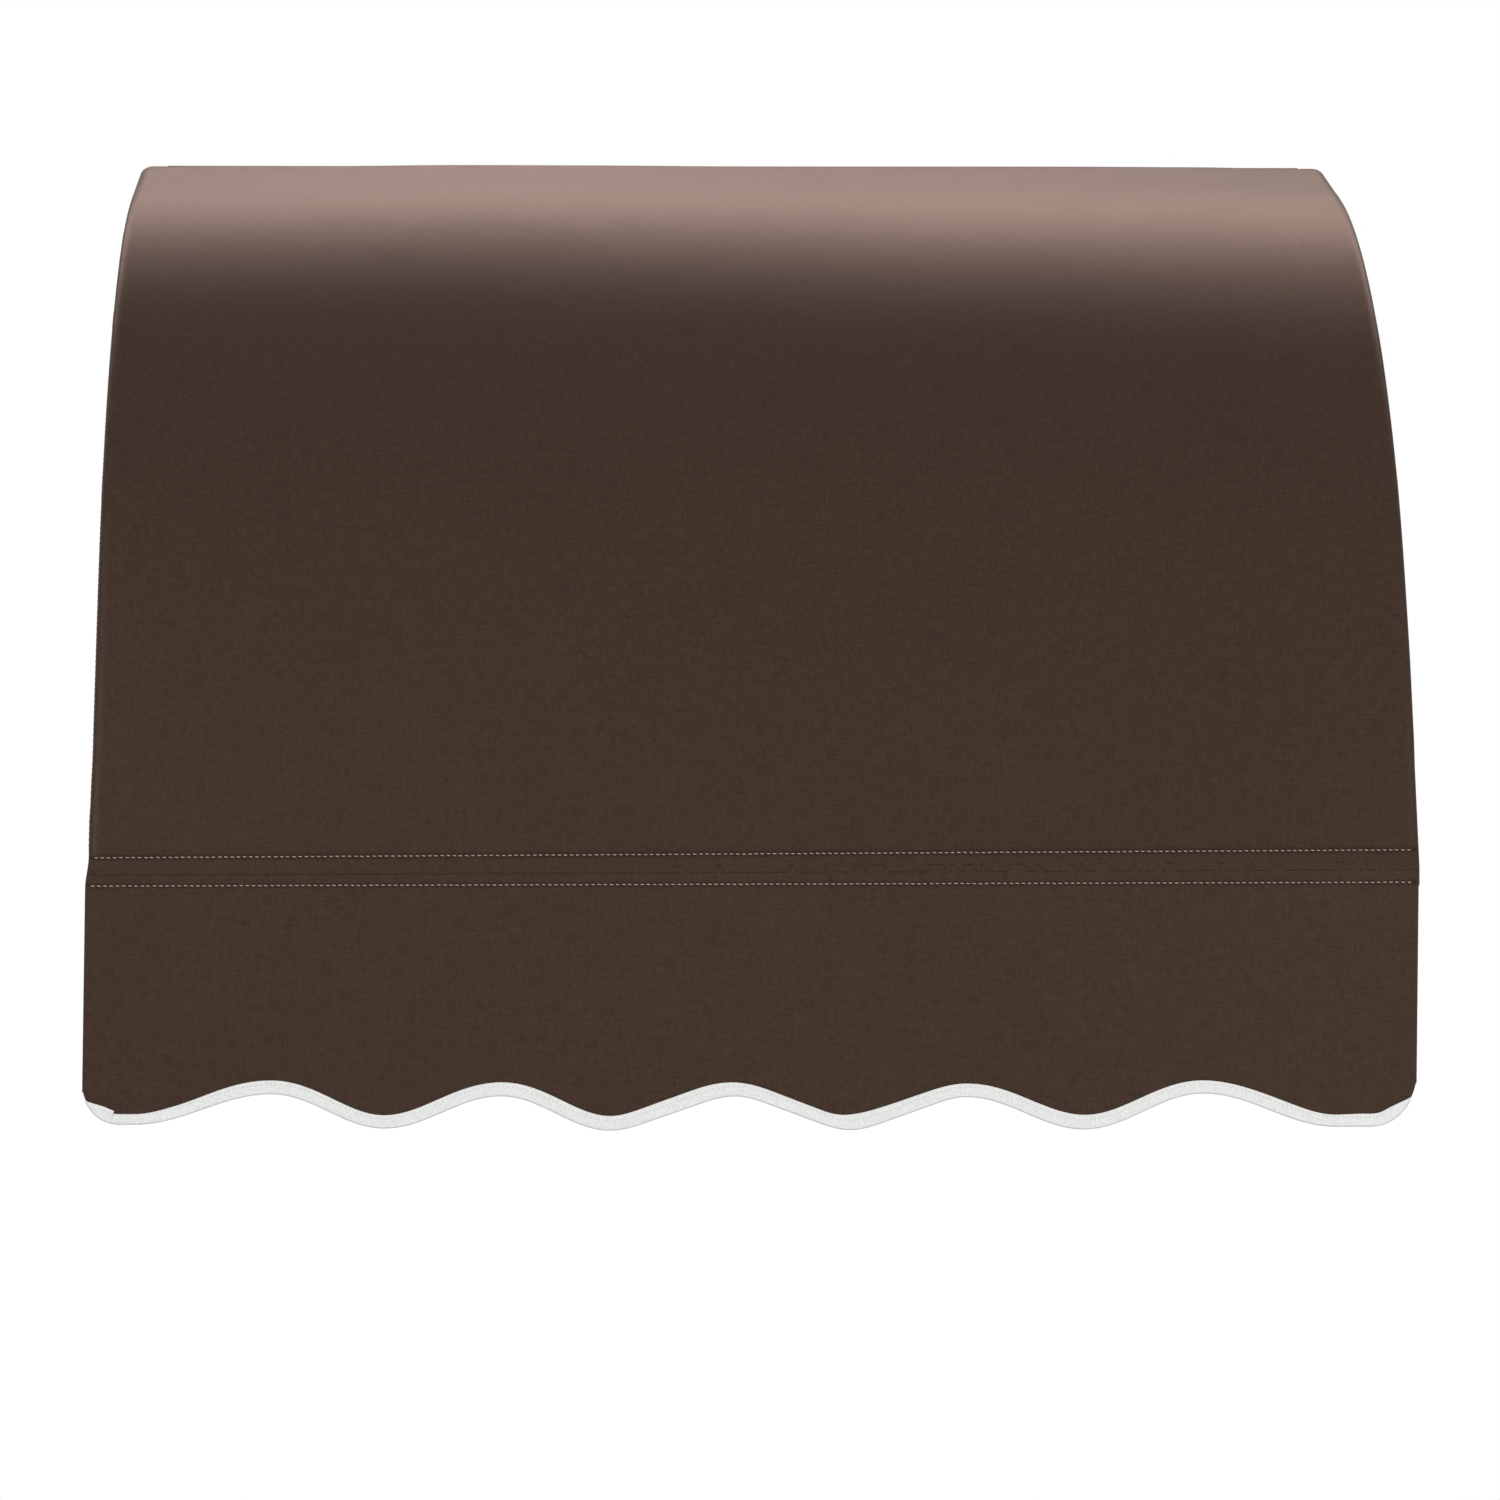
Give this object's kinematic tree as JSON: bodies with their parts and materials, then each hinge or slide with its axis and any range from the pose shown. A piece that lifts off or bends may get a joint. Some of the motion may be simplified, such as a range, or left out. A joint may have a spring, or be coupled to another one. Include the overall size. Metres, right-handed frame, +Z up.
{
  "type": "fixed window awning",
  "caption": "Fixed window awning: curved canvas canopy on a bent tube frame with wall sockets, open sides and a scalloped valance with a white braid edge.",
  "frame": {"origin": "middle of the head rail's back face, on the plane of the wall", "axes": "+X to the right as seen from in front, +Y into the wall, +Z up; the canopy stands out along -Y"},
  "size_m": [1.0328, 0.6113, 0.812],
  "materials": {
    "brown_canvas": "matt woven",
    "white_braid": "woven braid",
    "black_webbing": "woven webbing",
    "galvanised_tube": "galvanised",
    "extruded_aluminium": "mill finish",
    "cast_aluminium": "as cast",
    "zinc_screw": "zinc plated",
    "nylon_bead": "smooth"
  },
  "bodies": {
    "root": {"bar_sleeve": "brown_canvas", "canopy": "brown_canvas", "edge_bead": "nylon_bead", "front_bar": "galvanised_tube", "front_corner_left": "cast_aluminium", "front_corner_right": "cast_aluminium", "head_corner_left": "cast_aluminium", "head_corner_right": "cast_aluminium", "head_rail": "extruded_aluminium", "hem_strap_left_1": "black_webbing", "hem_strap_left_2": "black_webbing", "hem_strap_left_3": "black_webbing", "hem_strap_right_1": "black_webbing", "hem_strap_right_2": "black_webbing", "hem_strap_right_3": "black_webbing", "purlin": "galvanised_tube", "purlin_saddle_left": "cast_aluminium", "purlin_saddle_right": "cast_aluminium", "rafter_left": "galvanised_tube", "rafter_right": "galvanised_tube", "screw_front_bar_left": "zinc_screw", "screw_front_bar_right": "zinc_screw", "screw_purlin_left": "zinc_screw", "screw_purlin_right": "zinc_screw", "screw_rafter_foot_left": "zinc_screw", "screw_rafter_foot_right": "zinc_screw", "screw_rafter_head_left": "zinc_screw", "screw_rafter_head_right": "zinc_screw", "screw_rail_left": "zinc_screw", "screw_rail_right": "zinc_screw", "screw_side_bar_back_left": "zinc_screw", "screw_side_bar_back_right": "zinc_screw", "screw_side_bar_front_left": "zinc_screw", "screw_side_bar_front_right": "zinc_screw", "side_bar_left": "galvanised_tube", "side_bar_right": "galvanised_tube", "valance": "brown_canvas", "valance_braid": "white_braid", "wall_base_left": "cast_aluminium", "wall_base_right": "cast_aluminium"}
  },
  "joints": []
}
